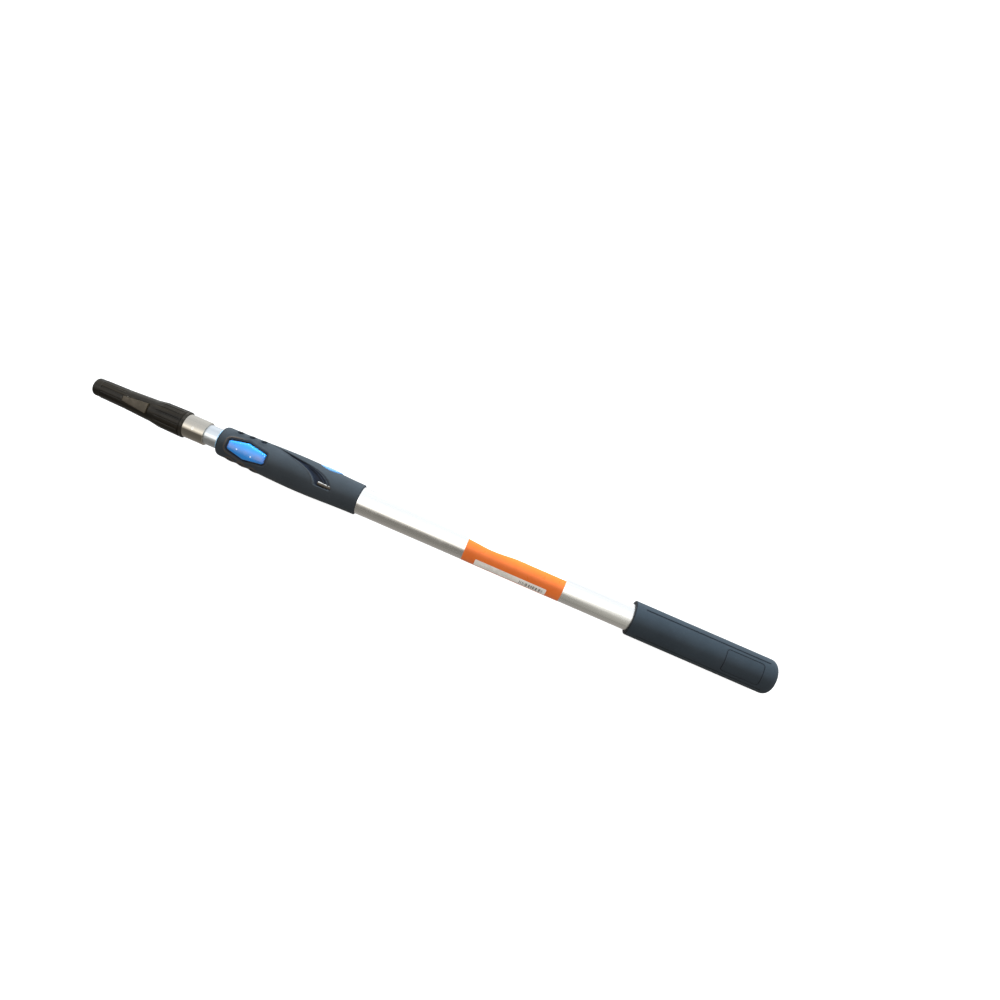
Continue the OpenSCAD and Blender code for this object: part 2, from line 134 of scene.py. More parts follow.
def rounded(corners, radius, grow, count=8):
    """A convex outline, counter-clockwise, with round corners, grown outwards."""
    points = []
    total = len(corners)
    for i in range(total):
        a, b, c = (np.array(corners[(i + k) % total], float) for k in (-1, 0, 1))
        u, v = (b - a) / np.linalg.norm(b - a), (c - b) / np.linalg.norm(c - b)
        half = math.acos(np.clip(u @ v, -1, 1)) / 2
        inner = b + (v - u) / np.linalg.norm(v - u) * radius / math.cos(half)
        first = math.atan2(-u[0], u[1])
        for k in range(count + 1):
            turn = first + 2 * half * k / count
            points.append(tuple(inner + (radius + grow) * np.array([math.cos(turn), math.sin(turn)])))
    return points


# ---- Pieces ----


def piece(name, points, faces, body, nodes, material):
    """A new mesh object that rides on a body and stands for CAD nodes."""
    mesh = bpy.data.meshes.new(name)
    mesh.from_pydata([tuple(p) for p in points], [], faces)
    tidy = bmesh.new()
    tidy.from_mesh(mesh)
    bmesh.ops.recalc_face_normals(tidy, faces=tidy.faces)
    tidy.to_mesh(mesh)
    tidy.free()
    mesh.shade_smooth()
    mesh.set_sharp_from_angle(angle=SMOOTH_ANGLE)
    mesh.materials.append(material)
    obj = bpy.data.objects.new(name, mesh)
    bpy.context.collection.objects.link(obj)
    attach(obj, body)
    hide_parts(*nodes)
    return obj


def weave(ids, skip=None):
    """Faces between the rows of a grid of vertex numbers that closes on itself both ways."""
    faces = []
    down, across = np.roll(ids, -1, 0), np.roll(ids, -1, 1)
    both = np.roll(down, -1, 1)
    grids = (ids, down, both, across) + (() if skip is None else (skip,))
    for quad in zip(*(g.ravel() for g in grids)):
        if skip is not None:
            if quad[4]:
                continue
            quad = quad[:4]
        face = [int(v) for k, v in enumerate(quad) if v != quad[k - 1]]
        if len(face) > 2:
            faces.append(face)
    return faces


def joined(name, points, faces, body, nodes, material):
    """A piece made of only the points that a face uses."""
    used = sorted({v for f in faces for v in f})
    number = {v: n for n, v in enumerate(used)}
    faces = [[number[v] for v in f] for f in faces]
    return piece(name, [points[v] for v in used], faces, body, nodes, material)


def fanned(name, points, count, body, nodes, material):
    """A closed shell through rings of `count` points, of which the first and last ring are one point."""
    ids = np.arange(len(points)).reshape(-1, count)
    ids[0], ids[-1] = ids[0, 0], ids[-1, 0]
    return joined(name, points, weave(ids), body, nodes, material)


def turned(name, profile, angles, body, nodes, material, relief=None):
    """A solid turned from a closed profile of (station, radius), reshaped by relief(s, angle, radius)."""
    stations = np.array([p[0] for p in profile])[:, None]
    radii = np.array([p[1] for p in profile])[:, None]
    grid_s, grid_a = np.broadcast_arrays(stations, angles[None, :])
    grid_r = np.broadcast_to(radii, grid_s.shape).copy()
    if relief:
        grid_r = relief(grid_s, grid_a, grid_r)
    ids = np.arange(grid_s.size).reshape(grid_s.shape)
    ids[radii[:, 0] == 0] = ids[radii[:, 0] == 0][:, :1]
    return joined(name, place(grid_s, grid_a, grid_r), weave(ids), body, nodes, material)


def rest_flat(angle, radius):
    """Cuts a radius off at the plane that the pole lies on."""
    down = -np.cos(angle)
    return np.where(down > 0.5, np.minimum(radius, AXIS / np.maximum(down, 0.5)), radius)


# ---- Measures of the front grip ----

COVER_FROM, COVER_TO = span("grip_cover")
BELLY_S = 222.0
FRONT_R, BELLY_R, REAR_R = 15.1, 17.5, 15.8
MOUTH_R = 12.45
LIP_END = COVER_FROM + 1.6
CORE_SPLIT = 172.0
FRONT_CORE_R, REAR_CORE_R = 13.8, 15.0
SHELL_END = 284.0
BUTTON_FROM, BUTTON_MIDDLE, BUTTON_TO = 148.4, 166.44, 187.2
BUTTON_CORNERS = [(BUTTON_FROM, -4.4), (BUTTON_MIDDLE, -8.4), (BUTTON_TO, -5.1), (BUTTON_TO, 5.1),
                  (BUTTON_MIDDLE, 8.4), (BUTTON_FROM, 4.4)]
BUTTON_ROUND = 2.2
WINDOW_GAP = 1.3
HOLE_STATIONS = (152.5, 165.0, 177.5)
HOLE_ANGLE = math.radians(65)
HOLE_R, HOLE_DEPTH = 2.85, 1.3
BUTTON_BUMPS = ((158.6, -1.3), (173.9, -2.9))


# ---- Measures of the end grip ----

END_FROM, END_TO = span("end_grip")
END_R = 17.8
END_CORNER, END_EDGE, END_THICK = 8.0, 1.2, 4.0
GROOVE_ANGLE = math.radians(52)
GROOVE_FROM, GROOVE_TO = END_FROM + 10, END_TO - 11
PANEL = rounded([(675, -11.8), (714.5, -11.8), (714.5, 11.8), (675, 11.8)], 3.0, 0)


# ---- Materials ----


def linear(red, green, blue):
    """A colour from sRGB values of 0 to 255."""
    def one(v):
        v = v / 255
        return v / 12.92 if v <= 0.04045 else ((v + 0.055) / 1.055) ** 2.4
    return (one(red), one(green), one(blue), 1)


class Nodes:
    """Builds a material's node tree."""

    def __init__(self, name):
        self.material = bpy.data.materials.new(name)
        self.material.use_nodes = True
        self.tree = self.material.node_tree
        self.shader = self.tree.nodes["Principled BSDF"]
        self.coordinates = self.tree.nodes.new("ShaderNodeTexCoord").outputs["Object"]

    def node(self, kind, inputs=None, **settings):
        node = self.tree.nodes.new(kind)
        for key, value in settings.items():
            setattr(node, key, value)
        for key, value in (inputs or {}).items():
            if isinstance(value, bpy.types.NodeSocket):
                self.tree.links.new(value, node.inputs[key])
            else:
                node.inputs[key].default_value = value
        return node

    def math(self, operation, a, b=0.0, clamp=False):
        return self.node("ShaderNodeMath", {0: a, 1: b}, operation=operation, use_clamp=clamp).outputs[0]

    def noise(self, scale, detail=3.0, stretch=(1, 1, 1), roughness=0.5, shift=0.0):
        """Noise whose pattern repeats about `scale` times a metre, drawn out along some axes."""
        mapped = self.node("ShaderNodeMapping", {
            "Vector": self.coordinates, "Scale": stretch, "Location": (shift,) * 3})
        noise = self.node("ShaderNodeTexNoise", {
            "Vector": mapped.outputs[0], "Scale": scale, "Detail": detail, "Roughness": roughness})
        return noise.outputs["Fac"]

    def ramp(self, factor, *stops):
        """A colour ramp; each stop is (position, colour)."""
        node = self.node("ShaderNodeValToRGB", {"Fac": factor})
        points = node.color_ramp.elements
        while len(points) < len(stops):
            points.new(0.5)
        for point, (position, colour) in zip(points, stops):
            point.position = position
            point.color = colour
        return node.outputs["Color"]

    def range(self, value, low, high, to_low, to_high, smooth=False):
        return self.node("ShaderNodeMapRange", {
            "Value": value, "From Min": low, "From Max": high, "To Min": to_low, "To Max": to_high},
            interpolation_type="SMOOTHSTEP" if smooth else "LINEAR").outputs["Result"]

    def mix(self, factor, a, b):
        return self.node("ShaderNodeMix", {"Factor": factor, 6: a, 7: b}, data_type="RGBA").outputs[2]

    def bump(self, *layers):
        """Bump layers of (height, strength, depth in mm)."""
        normal = None
        for height, strength, depth in layers:
            inputs = {"Height": height, "Strength": strength, "Distance": depth * MM}
            if normal is not None:
                inputs["Normal"] = normal
            normal = self.node("ShaderNodeBump", inputs).outputs["Normal"]
        return normal

    def finish(self, colour, roughness, normal, **constants):
        for key, value in (("Base Color", colour), ("Roughness", roughness), ("Normal", normal)):
            self.tree.links.new(value, self.shader.inputs[key])
        for key, value in constants.items():
            self.shader.inputs[key.replace("_", " ")].default_value = value
        return self.material

    def wrap_angle(self):
        """The angle round the pole in degrees, from the top towards +Y, and the station in mm."""
        parts = self.node("ShaderNodeSeparateXYZ", {0: self.coordinates}).outputs
        up = self.math("SUBTRACT", parts[2], AXIS * MM)
        angle = self.math("MULTIPLY", self.math("ARCTAN2", parts[1], up), 180 / math.pi)
        station = self.math("SUBTRACT", self.math("DIVIDE", parts[0], MM), START)
        return angle, station

    def axis_distance(self):
        """The distance from the pole's axis in metres, and the object coordinates."""
        parts = self.node("ShaderNodeSeparateXYZ", {0: self.coordinates}).outputs
        up = self.math("SUBTRACT", parts[2], AXIS * MM)
        return self.length(parts[1], up), parts

    def length(self, a, b):
        return self.math("SQRT", self.math("ADD", self.math("MULTIPLY", a, a), self.math("MULTIPLY", b, b)))

    def near(self, value, middle, reach):
        """1 where a value is within reach of the middle, otherwise 0."""
        compare = self.math("COMPARE", value, middle)
        compare.node.inputs[2].default_value = reach
        return compare

    def worn(self, colour, bright, share):
        """Lightens convex edges, patchily, as handling does."""
        edge = self.range(self.node("ShaderNodeNewGeometry").outputs["Pointiness"], 0.52, 0.60, 0, 1)
        patch = self.range(self.noise(240, 4), 0.40, 0.62, 0, share)
        return self.mix(self.math("MULTIPLY", edge, patch), colour, bright)


def plastic(name, dark, light, rough, grain=1600, depth=0.02, wear=0.0, shape=None, streak=1.0,
            **constants):
    """Moulded plastic: slow colour change, fine texture, handling marks."""
    n = Nodes(name)
    cloud = n.noise(38, 3) if streak == 1 else n.noise(420, 2, (streak, 1, 1))
    colour = n.ramp(cloud, (0.35, dark), (0.68, light))
    if wear:
        colour = n.worn(colour, tuple(min(1, 2.2 * c + 0.03) for c in light[:3]) + (1,), wear)
    if shape:
        colour = shape(n, colour)
    roughness = n.range(n.noise(120, 4), 0.3, 0.7, rough - 0.06, rough + 0.07)
    normal = n.bump((n.noise(grain, 2), 0.35, depth), (n.noise(90, 3), 0.12, depth * 6))
    return n.finish(colour, roughness, normal, **constants)


def rubber(name, dark, light, rough, shape=None, **constants):
    """Matt rubber: fine grain, faint bloom, smoother where hands rub it."""
    n = Nodes(name)
    cloud = n.noise(22, 5, roughness=0.6)
    colour = n.ramp(cloud, (0.30, dark), (0.72, light))
    dust = n.range(n.noise(520, 4), 0.60, 0.78, 0, 0.22)
    colour = n.mix(dust, colour, tuple(1.5 * c + 0.01 for c in light[:3]) + (1,))
    if shape:
        colour = shape(n, colour)
    roughness = n.range(n.noise(45, 4, shift=3.0), 0.3, 0.7, rough - 0.07, rough + 0.08)
    grain = n.node("ShaderNodeTexVoronoi", {"Vector": n.coordinates, "Scale": 1500.0}).outputs["Distance"]
    normal = n.bump((grain, 0.22, 0.05), (n.noise(2600, 2), 0.25, 0.03), (n.noise(60, 3), 0.10, 0.15))
    return n.finish(colour, roughness, normal, **constants)


def drawn_metal(name, dark, light, rough, lines=1.0, **constants):
    """Metal with lengthwise drawing lines, faint rubbing rings and a few scratches."""
    n = Nodes(name)
    fine = n.noise(2400, 3, (0.012, 1, 1))
    broad = n.noise(420, 3, (0.02, 1, 1), shift=2.0)
    colour = n.ramp(broad, (0.3, dark), (0.7, light))
    rub = n.noise(150, 5, (1, 0.05, 0.05), roughness=0.7)
    roughness = n.math("ADD", n.range(fine, 0.3, 0.7, rough - 0.04, rough + 0.04),
                       n.range(rub, 0.45, 0.75, 0, 0.06))
    scratch = n.noise(900, 2, (0.05, 1, 0.4), shift=7.0)
    normal = n.bump((fine, 0.10 * lines, 0.02), (scratch, 0.05 * lines, 0.02))
    return n.finish(colour, roughness, normal, Metallic=1.0, **constants)


LABEL_FROM, LABEL_TO = span("label_wrap")


def label_film():
    """Printed film: an orange field with a wavy upper edge, and a white band with small generic marks."""
    n = Nodes("printed_label_film")
    angle, station = n.wrap_angle()
    per_mm = 2 * math.pi / (LABEL_TO - LABEL_FROM)
    turn = n.math("MULTIPLY", n.math("SUBTRACT", station, LABEL_FROM), per_mm)
    dip = n.math("POWER", n.math("MAXIMUM", n.math("SINE", turn), 0.0), 1.5)
    edge = n.math("ADD", n.math("MULTIPLY", dip, -8.0), 38.0)
    white_low = n.range(n.math("SUBTRACT", angle, edge), -0.6, 0.6, 0, 1, True)
    white_high = n.range(angle, 128.0, 130.0, 1, 0, True)
    white = n.math("MULTIPLY", white_low, white_high)
    orange = n.ramp(n.noise(60, 3), (0.3, linear(222, 107, 40)), (0.7, linear(228, 114, 46)))
    paper = n.ramp(n.noise(90, 3), (0.3, linear(238, 238, 236)), (0.7, linear(246, 246, 245)))
    colour = n.mix(white, orange, paper)
    # Small blocks in a row on the white band, dense at its start, in place of print
    cell = n.math("FRACT", n.math("DIVIDE", station, 4.2))
    row = n.near(angle, 66.0, 7.0)
    start = n.math("LESS_THAN", station, LABEL_FROM + 15)
    chance = n.math("ADD", n.noise(260, 1), n.math("MULTIPLY", start, 0.12))
    block = n.math("MULTIPLY", n.math("GREATER_THAN", cell, 0.45), row)
    block = n.math("MULTIPLY", n.math("MULTIPLY", block, n.math("GREATER_THAN", chance, 0.54)), 0.85)
    colour = n.mix(block, colour, linear(96, 106, 152))
    roughness = n.range(n.noise(200, 3), 0.3, 0.7, 0.26, 0.36)
    normal = n.bump((n.noise(70, 4), 0.10, 0.25), (n.noise(1400, 2), 0.10, 0.01))
    return n.finish(colour, roughness, normal, Specular_IOR_Level=0.3, Coat_Weight=0.1, Coat_Roughness=0.2)


def sticker_paper():
    """White paper with uneven bars at one end and faint ruled lines at the other."""
    n = Nodes("barred_sticker_paper")
    angle, station = n.wrap_angle()
    paper = n.ramp(n.noise(120, 4), (0.3, linear(226, 219, 208)), (0.7, linear(238, 232, 224)))
    along = n.node("ShaderNodeCombineXYZ", {0: station}).outputs[0]
    random = n.node("ShaderNodeTexNoise", {"Vector": along, "Scale": 1.15, "Detail": 1.0}).outputs["Fac"]
    bars = n.math("GREATER_THAN", random, 0.5)
    height = n.near(angle, -51.0, 11.0)
    part = n.near(station, 474.5, 12.5)
    bars = n.math("MULTIPLY", n.math("MULTIPLY", bars, height), n.math("MULTIPLY", part, 0.85))
    colour = n.mix(bars, paper, linear(46, 42, 38))
    lines = n.math("GREATER_THAN", n.math("FRACT", n.math("DIVIDE", angle, 6.5)), 0.72)
    front = n.near(station, 437.0, 17.0)
    gaps = n.math("GREATER_THAN", n.noise(260, 2), 0.46)
    lines = n.math("MULTIPLY", n.math("MULTIPLY", lines, front), n.math("MULTIPLY", gaps, 0.4))
    colour = n.mix(lines, colour, linear(120, 116, 112))
    roughness = n.range(n.noise(300, 3), 0.3, 0.7, 0.48, 0.60)
    normal = n.bump((n.noise(1100, 3), 0.2, 0.015), (n.noise(80, 3), 0.1, 0.2))
    return n.finish(colour, roughness, normal)


def grip_painted_shade_and_highlight(n, colour):
    """Painted shade: dark navy in the grip's recesses. Painted highlight: brownish on its raised lips,
    except on the +Y side.
    """
    angle, station = n.wrap_angle()
    begin, end = span("grip_cover")
    front = n.range(station, begin, BELLY_S, FRONT_R, BELLY_R, True)
    drop = n.range(station, BELLY_S, end, 0, BELLY_R - REAR_R, True)
    skin = n.math("SUBTRACT", front, drop)
    radius, _ = n.axis_distance()
    rise = n.math("SUBTRACT", n.math("DIVIDE", radius, MM), skin)
    # Painted highlight: a warm brownish sheen on the raised lip round the button
    lip = n.math("MULTIPLY", n.range(rise, 0.15, 0.5, 0, 0.5), n.range(angle, 38.0, 46.0, 1, 0))
    colour = n.mix(lip, colour, linear(84, 70, 56))
    # Painted shade: dark navy where the surface sinks under the skin, in the groove, scoop, holes and round
    # the window
    return n.mix(n.range(rise, -0.3, -1.0, 0, 0.9), colour, linear(7, 14, 27))


def end_groove_painted_shade(n, colour):
    """Painted shade: dark in the end grip's grooves and panel outline."""
    radius, parts = n.axis_distance()
    _, station = n.wrap_angle()
    before = n.math("LESS_THAN", station, END_TO - END_CORNER)
    sunk = n.range(n.math("DIVIDE", radius, MM), END_R - 0.12, END_R - 0.36, 0, 0.85)
    below = n.range(parts[2], 0.0, 2 * MM, 0, 1)
    # Painted shade in the sunk grooves, kept off the rounded end and the flat underside
    return n.mix(n.math("MULTIPLY", n.math("MULTIPLY", sunk, before), below), colour, linear(8, 12, 18))


def button_painted_highlights(n, colour):
    """Painted highlights on the button's two pips, and a painted lavender sheen along its middle."""
    parts = n.node("ShaderNodeSeparateXYZ", {0: n.coordinates}).outputs
    # Painted highlight: a pale spot on each pip
    for station, side in BUTTON_BUMPS:
        along = n.math("SUBTRACT", parts[0], (START + station) * MM)
        across = n.math("SUBTRACT", parts[1], side * MM)
        away = n.length(along, across)
        colour = n.mix(n.range(away, 0.4 * MM, 1.1 * MM, 0.9, 0, True), colour, linear(225, 238, 248))
    # Painted sheen: lavender patches along the middle of the button
    painted_sheen = n.range(n.noise(75, 3, shift=5.0), 0.46, 0.66, 0, 0.55)
    middle = n.range(n.math("ABSOLUTE", n.math("ADD", parts[1], 1.5 * MM)), 0, 5 * MM, 1, 0, True)
    return n.mix(n.math("MULTIPLY", painted_sheen, middle), colour, linear(120, 130, 190))


def strap_painted_reflections():
    """Polished strip with painted reflections: a painted highlight along the upper edge, a painted dark
    reflection between, a painted brownish reflection along the lower edge.
    """
    n = Nodes("bar_steel_looks")
    lo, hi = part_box("strap_bar")
    side = n.node("ShaderNodeSeparateXYZ", {0: n.coordinates}).outputs["Y"]
    share = n.range(side, lo.y, hi.y, 0, 1)
    share = n.math("ADD", share, n.range(n.noise(300, 4), 0.3, 0.7, -0.03, 0.03))
    dark = (0.07, 0.06, 0.05, 1)
    # Painted reflections across the bar: brownish low, dark in the middle, a bright highlight high
    colour = n.ramp(share, (0.0, dark), (0.08, (0.34, 0.29, 0.23, 1)), (0.22, (0.30, 0.26, 0.21, 1)),
                    (0.34, dark), (0.66, dark), (0.78, (0.85, 0.84, 0.80, 1)))
    fine = n.noise(2400, 3, (0.012, 1, 1))
    roughness = n.range(fine, 0.3, 0.7, 0.12, 0.2)
    return n.finish(colour, roughness, n.bump((fine, 0.06, 0.02)), Metallic=1.0)


grip_rubber = rubber("grip_rubber_looks", linear(44, 49, 53), linear(51, 56, 61), 0.62, grip_painted_shade_and_highlight,
                     Specular_IOR_Level=0.2)
end_rubber = rubber("end_rubber_looks", linear(38, 45, 51), linear(45, 53, 60), 0.62, end_groove_painted_shade,
                    Specular_IOR_Level=0.2)
cone_black = plastic("cone_plastic_looks", linear(9, 7, 4), linear(27, 22, 14), 0.40, wear=0.5,
                     streak=0.05, Specular_IOR_Level=0.25)
catch_brown = plastic("catch_plastic_looks", linear(50, 43, 32), linear(58, 50, 38), 0.42, wear=0.4,
                      Specular_IOR_Level=0.3)
blue_gloss = plastic("blue_plastic_looks", linear(20, 122, 205), linear(28, 133, 216), 0.22, depth=0.006,
                     Coat_Weight=0.6, Coat_Roughness=0.08)
button_blue = plastic("button_plastic_looks", linear(20, 122, 205), linear(28, 133, 216), 0.22, depth=0.006,
                      shape=button_painted_highlights, Coat_Weight=0.6, Coat_Roughness=0.08)
inlay_blue = plastic("inlay_plastic_looks", linear(62, 112, 160), linear(70, 122, 170), 0.25, depth=0.006,
                     Coat_Weight=0.5, Coat_Roughness=0.1)
# A pale copy of the blue plastic: painted highlight standing in for the bush's washed-out glossy flare
bush_painted_highlight_blue = plastic("bush_plastic_looks", linear(140, 185, 215), linear(150, 195, 225), 0.25, depth=0.006)
housing_black = plastic("housing_plastic_looks", linear(34, 35, 38), linear(46, 47, 50), 0.50)
slide_grey = plastic("slide_plastic_looks", linear(150, 152, 150), linear(172, 174, 171), 0.42)
plug_black = plastic("plug_plastic_looks", linear(38, 38, 40), linear(50, 50, 52), 0.46)
seal_black = rubber("seal_rubber_looks", linear(30, 30, 31), linear(42, 42, 43), 0.55)
outer_alloy = drawn_metal("outer_aluminium_looks", (0.84, 0.84, 0.83, 1), (0.92, 0.92, 0.91, 1), 0.24)
inner_alloy = drawn_metal("inner_aluminium_looks", (0.58, 0.62, 0.66, 1), (0.66, 0.70, 0.74, 1), 0.34)
ferrule_chrome = drawn_metal("ferrule_chrome_looks", (0.42, 0.395, 0.35, 1), (0.47, 0.445, 0.40, 1),
                             0.09, 0.4)
pin_steel = drawn_metal("pin_steel_looks", (0.50, 0.49, 0.47, 1), (0.60, 0.59, 0.57, 1), 0.28)
bar_steel = strap_painted_reflections()
spring_steel = drawn_metal("spring_steel_looks", (0.42, 0.42, 0.41, 1), (0.52, 0.52, 0.50, 1), 0.30)
brake_brass = drawn_metal("brake_brass_looks", (0.66, 0.48, 0.22, 1), (0.76, 0.57, 0.30, 1), 0.32)

LOOKS = {
    "cone_plastic": cone_black, "catch_plastic": catch_brown, "pin_steel": pin_steel,
    "spring_steel": spring_steel, "ferrule_chrome": ferrule_chrome, "inner_aluminium": inner_alloy,
    "outer_aluminium": outer_alloy, "slide_plastic": slide_grey, "plug_plastic": plug_black,
    "end_rubber": end_rubber, "label_film": label_film(), "sticker_paper": sticker_paper(),
    "housing_plastic": housing_black, "grip_rubber": grip_rubber, "blue_plastic": blue_gloss,
    "bar_steel": bar_steel, "seal_rubber": seal_black, "brake_brass": brake_brass,
}
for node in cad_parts.values():
    for place_in_node in node.material_slots:
        place_in_node.material = LOOKS[place_in_node.material.name.split(".")[0]]


# ---- Front grip ----

def grip_radius(s):
    front = FRONT_R + (BELLY_R - FRONT_R) * swell((s - COVER_FROM) / (BELLY_S - COVER_FROM))
    rear = BELLY_R + (REAR_R - BELLY_R) * swell((s - BELLY_S) / (COVER_TO - BELLY_S))
    return np.where(s < BELLY_S, front, rear)


BAR_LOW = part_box("strap_bar")[0].y / MM
window = rounded(BUTTON_CORNERS, BUTTON_ROUND, WINDOW_GAP)
MEAN_R = 17.3
# Edges of the swept groove that opens into the scoop, as (station, arc length from the top line)
SWEEP_LOW = [(186, 22.6), (198, 18.6), (211, 14.2), (222, 10.8), (228, 8.6), (232.5, 6.2), (236, 3.2),
             (238.6, -0.2), (240, -4), (240.5, -8)]
SWEEP_HIGH = [(186, 22.6), (198, 20.8), (211, 17.6), (222, 15.9), (231, 14.6), (239, 13.2), (246, 10.8),
              (252, 7.2), (256.5, 2.4), (258.5, -2.5), (258.5, -8)]

# The scoop's cross-section: a wall, a floor, and two ridges that step up to the skin
TERRACE_AT = (0, 0.12, 0.22, 0.50, 0.60, 0.67, 0.74, 0.84, 0.90, 1)
TERRACE_DEPTH = (0, 0.8, 2.2, 2.2, 1.3, 0.75, 1.5, 0.4, 0.9, 0)


def cover_relief(s, angle, radius):
    arc = angle * MEAN_R
    side = radius * np.sin(angle)
    upper = np.abs(angle) < math.pi / 2
    # The swept groove and scoop
    low, _ = to_line(s, arc, SWEEP_LOW)
    high, _ = to_line(s, arc, SWEEP_HIGH)
    within = inside(s, arc, SWEEP_LOW + SWEEP_HIGH[::-1])
    width = low + high
    across = low / np.maximum(width, 1e-6)
    groove = np.interp(across, (0, 0.30, 0.55, 0.86, 1), (0, 0.9, 2.0, 2.0, 0))
    terrace = np.interp(across, TERRACE_AT, TERRACE_DEPTH)
    depth = (groove + (terrace - groove) * step(4.5, 7.5, width)) * (1 - np.exp(-width / 1.1))
    fade = step(BAR_LOW - 1.2, BAR_LOW + 0.3, arc)
    radius = radius - np.where(within, depth * fade, 0)
    rim = np.where(within, 0, 0.34 * np.exp(-(low / 0.9) ** 2) * fade)
    radius = radius + rim
    radius = np.maximum(radius, REAR_CORE_R + 0.12)
    # The lip round the button's window
    gap, _ = to_line(s, side, window, closed=True)
    out = upper & ~inside(s, side, window)
    front = step(176, 150, s)
    radius = radius + np.where(out, (0.16 + 0.5 * front) * np.exp(-((gap - 1.9) / 1.0) ** 2), 0)
    radius = radius - np.where(upper & (gap < 1.8), 1.0 * (1 - np.minimum(gap, 1.8) / 1.8) ** 1.3, 0)
    # Blind holes on both sides, each in a low swelling
    for station in HOLE_STATIONS:
        for turn in (-HOLE_ANGLE, HOLE_ANGLE):
            away = np.hypot(s - station, (angle - turn) * MEAN_R)
            well = step(HOLE_R + 0.2, HOLE_R - 0.3, away)
            swelling = 0.95 * np.exp(-(away / 5.2) ** 4) * (1 - well)
            floor_r = np.where(s > CORE_SPLIT - 1, REAR_CORE_R, FRONT_CORE_R) + 0.06
            radius = np.maximum(radius + swelling - HOLE_DEPTH * well, floor_r)
    return radius


def grip_cover():
    window_s = np.concatenate([runs((145.0, CORE_SPLIT, 0.5)), [CORE_SPLIT, CORE_SPLIT + 0.001],
                               runs((CORE_SPLIT + 0.5, 191.5, 0.5))])
    front_s = COVER_FROM + 4.5
    front_r = float(grip_radius(front_s))
    wall = front_r - MOUTH_R - 0.2
    profile = corner(front_s, front_r - wall, 4.5, wall, -90, 0, 13)
    profile += [(s, float(grip_radius(s))) for s in runs((front_s + 0.75, 145.0, 0.75))]
    first = len(profile)
    profile += [(s, float(grip_radius(s))) for s in window_s]
    profile += [(s, float(grip_radius(s))) for s in runs((191.5, 262, 0.5), (262, COVER_TO - 2, 1.5))]
    rear_r = float(grip_radius(COVER_TO - 1.5))
    profile += corner(COVER_TO - 1.5, rear_r - 1.5, 1.5, 1.5, 0, 90, 8)
    profile += [(COVER_TO, TUBE_R + 0.05), (SHELL_END, TUBE_R + 0.05), (SHELL_END, REAR_CORE_R)]
    back = len(profile)
    profile += [(s, FRONT_CORE_R if s <= CORE_SPLIT else REAR_CORE_R) for s in window_s[::-1]]
    profile += [(LIP_END, FRONT_CORE_R), (LIP_END, MOUTH_R), (COVER_FROM, MOUTH_R)]
    angles = np.radians(np.concatenate([runs((-90, 90, 1.0), (90, 270, 5))]))
    stations = np.array([p[0] for p in profile])[:, None]
    radii = np.array([p[1] for p in profile])[:, None]
    s, a = (g.copy() for g in np.broadcast_arrays(stations, angles[None, :]))
    r = np.broadcast_to(radii, s.shape).copy()
    skin = np.zeros(len(profile), bool)
    skin[13:back - 11] = True
    shaped = cover_relief(s[skin], a[skin], r[skin])
    r[skin] = shaped
    r = rest_flat(a, r)
    # The window is cut through both faces, cell by cell, and its edge is drawn onto the outline
    count = len(window_s)
    outer = np.arange(first, first + count)
    inner = np.arange(back, back + count)[::-1]
    side = r * np.sin(a)
    middle_s = (s[outer][:-1] + s[outer][1:]) / 2
    ring = side[outer]
    middle_y = (ring[:-1] + ring[1:] + np.roll(ring, -1, 1)[:-1] + np.roll(ring, -1, 1)[1:]) / 4
    cut = inside(middle_s, middle_y, window) & (np.cos(a[outer][:-1]) > 0)
    skip = np.zeros(s.shape, bool)
    skip[outer[:-1]] = cut
    skip[inner[1:]] = cut
    touch = np.zeros((count, s.shape[1]), int)
    total = np.zeros_like(touch)
    for ds in (0, 1):
        for da in (0, 1):
            shifted = np.roll(cut, da, 1)
            touch[ds:count - 1 + ds] += shifted
            total[ds:count - 1 + ds] += 1
    edge = (touch > 0) & (touch < total)
    for rows in (outer, inner):
        block_s, block_a, block_r = s[rows], a[rows], r[rows]
        y = ring[edge]
        _, near = to_line(s[outer][edge], y, window, closed=True)
        block_s[edge] = near[:, 0]
        block_a[edge] = np.arcsin(np.clip(near[:, 1] / block_r[edge], -1, 1))
        s[rows], a[rows] = block_s, block_a
    ids = np.arange(s.size).reshape(s.shape)
    faces = weave(ids, skip)
    around = s.shape[1]
    for i in range(count - 1):
        for j in range(around):
            if not cut[i, j]:
                continue
            k = (j + 1) % around
            sides = ((i - 1, j, (i, j), (i, k)), (i + 1, j, (i + 1, k), (i + 1, j)),
                     (i, j - 1, (i + 1, j), (i, j)), (i, k, (i, k), (i + 1, k)))
            for ni, nj, p, q in sides:
                if 0 <= ni < count - 1 and cut[ni, nj % around]:
                    continue
                faces.append([int(ids[outer[p[0]], p[1]]), int(ids[outer[q[0]], q[1]]),
                              int(ids[inner[q[0]], q[1]]), int(ids[inner[p[0]], p[1]])])
    return joined("rubber_grip_cover", place(s, a, r), faces, "handle", ["grip_cover"],
                  grip_rubber)


grip_cover()


